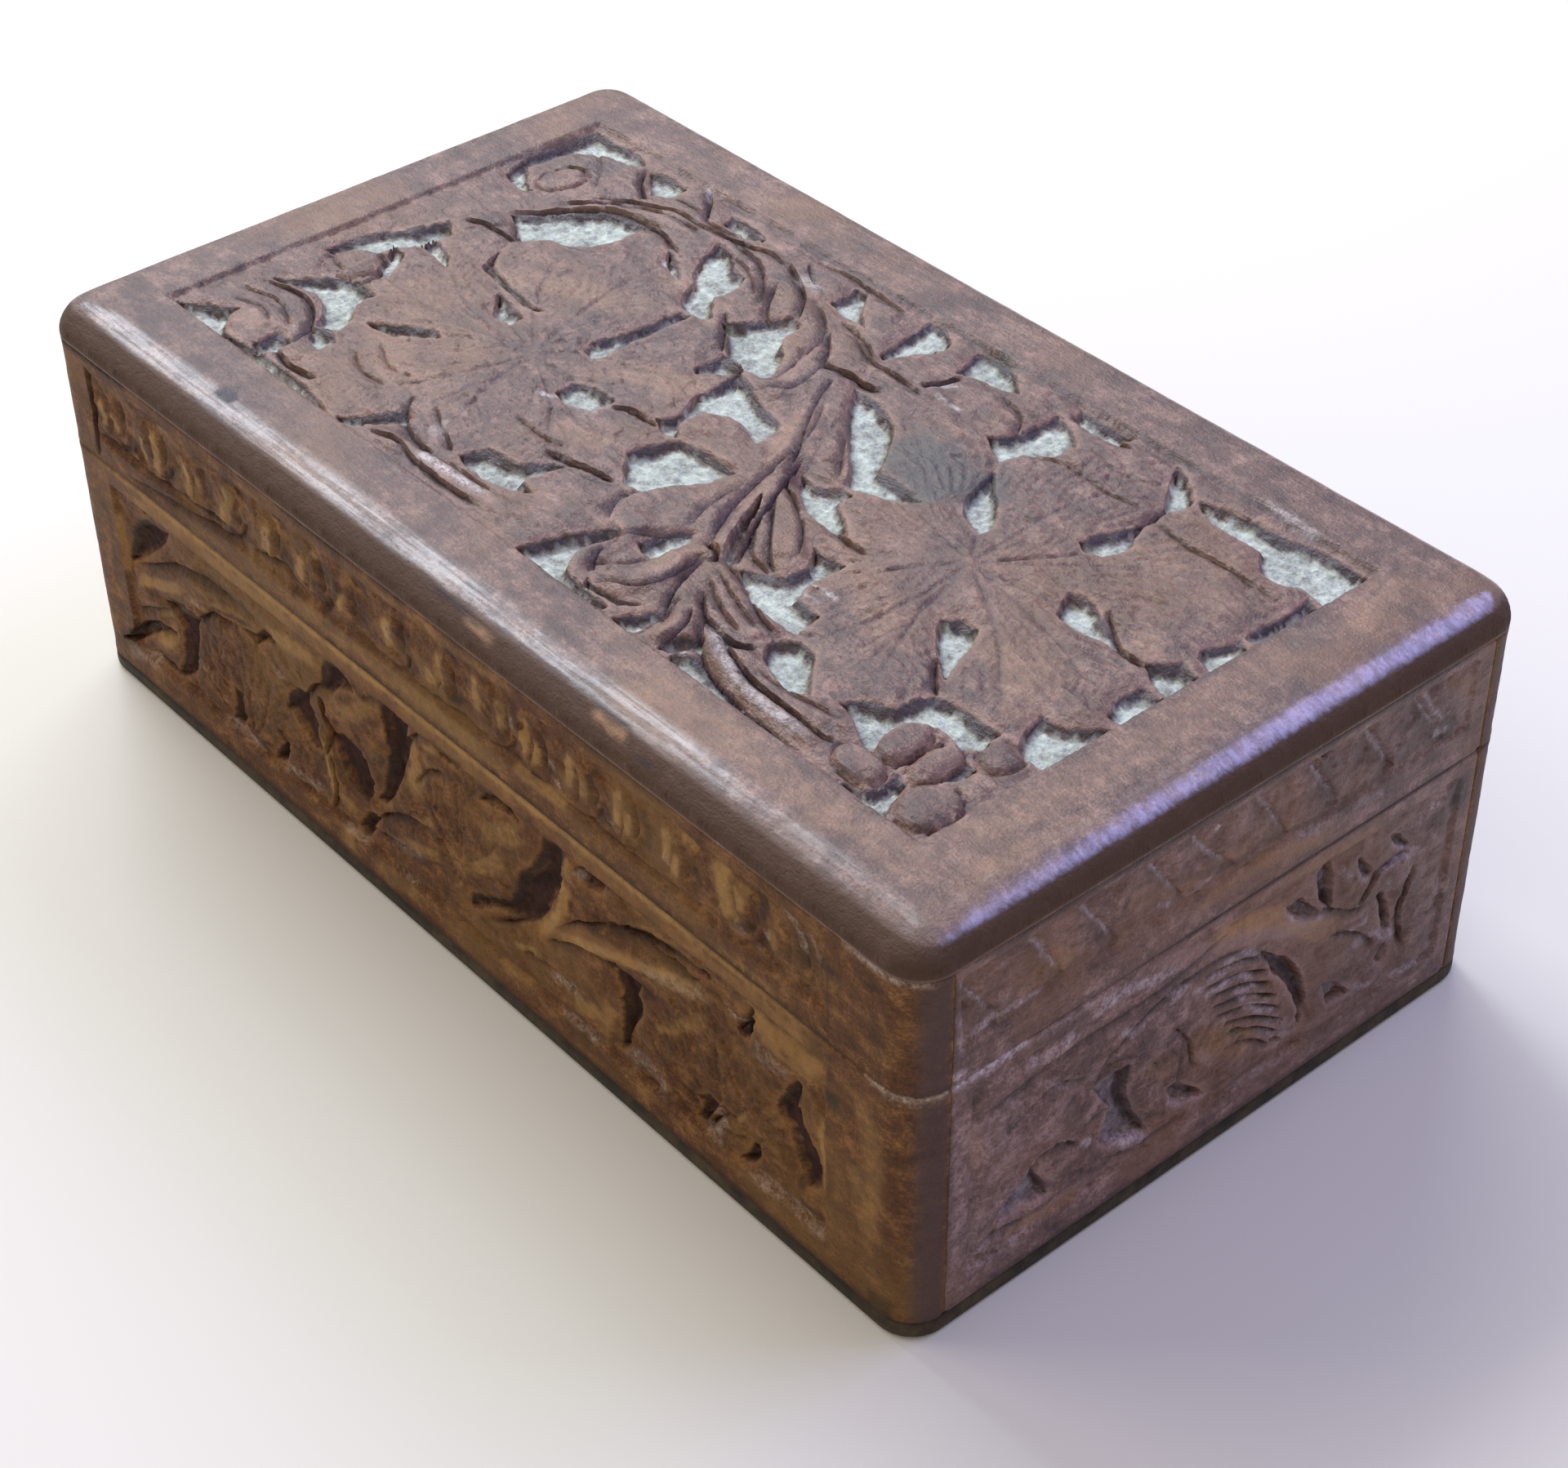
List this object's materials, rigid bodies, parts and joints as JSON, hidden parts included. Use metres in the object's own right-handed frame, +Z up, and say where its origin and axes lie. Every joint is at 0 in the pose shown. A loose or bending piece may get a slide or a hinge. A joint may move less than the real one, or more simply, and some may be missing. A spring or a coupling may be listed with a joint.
{
  "type": "carved keepsake box",
  "caption": "Rectangular hinged wooden keepsake box with leaves carved in low relief on its lid and walls.",
  "frame": {"origin": "centre of the wooden box's underside, on the surface that the box stands on", "axes": "+X to the right along the front, +Y to the hinged back, +Z up"},
  "size_m": [0.203, 0.1177, 0.07],
  "materials": {
    "carved_wood": "waxed dark reddish brown hardwood, hand carved, worn glossy on its high places",
    "bottom_wood": "dark stained hardwood",
    "brass": "aged brass"
  },
  "bodies": {
    "base": {"bottom_board": "bottom_wood", "base_front_board": "carved_wood", "base_back_board": "carved_wood", "base_left_board": "carved_wood", "base_right_board": "carved_wood", "hinge_left_base_leaf": "brass", "hinge_left_pin": "brass", "hinge_left_base_screws": "brass", "hinge_right_base_leaf": "brass", "hinge_right_pin": "brass", "hinge_right_base_screws": "brass"},
    "lid": {"lid_top_board": "carved_wood", "lid_front_rail": "carved_wood", "lid_back_rail": "carved_wood", "lid_left_rail": "carved_wood", "lid_right_rail": "carved_wood", "hinge_left_lid_leaf": "brass", "hinge_left_lid_screws": "brass", "hinge_right_lid_leaf": "brass", "hinge_right_lid_screws": "brass"}
  },
  "joints": [
    {"name": "lid_hinge", "type": "hinge", "parent": "base", "child": "lid", "pos_m": [0, 0.05895, 0.0453], "axis": [-1, 0, 0], "range_deg": [0, 180]}
  ]
}
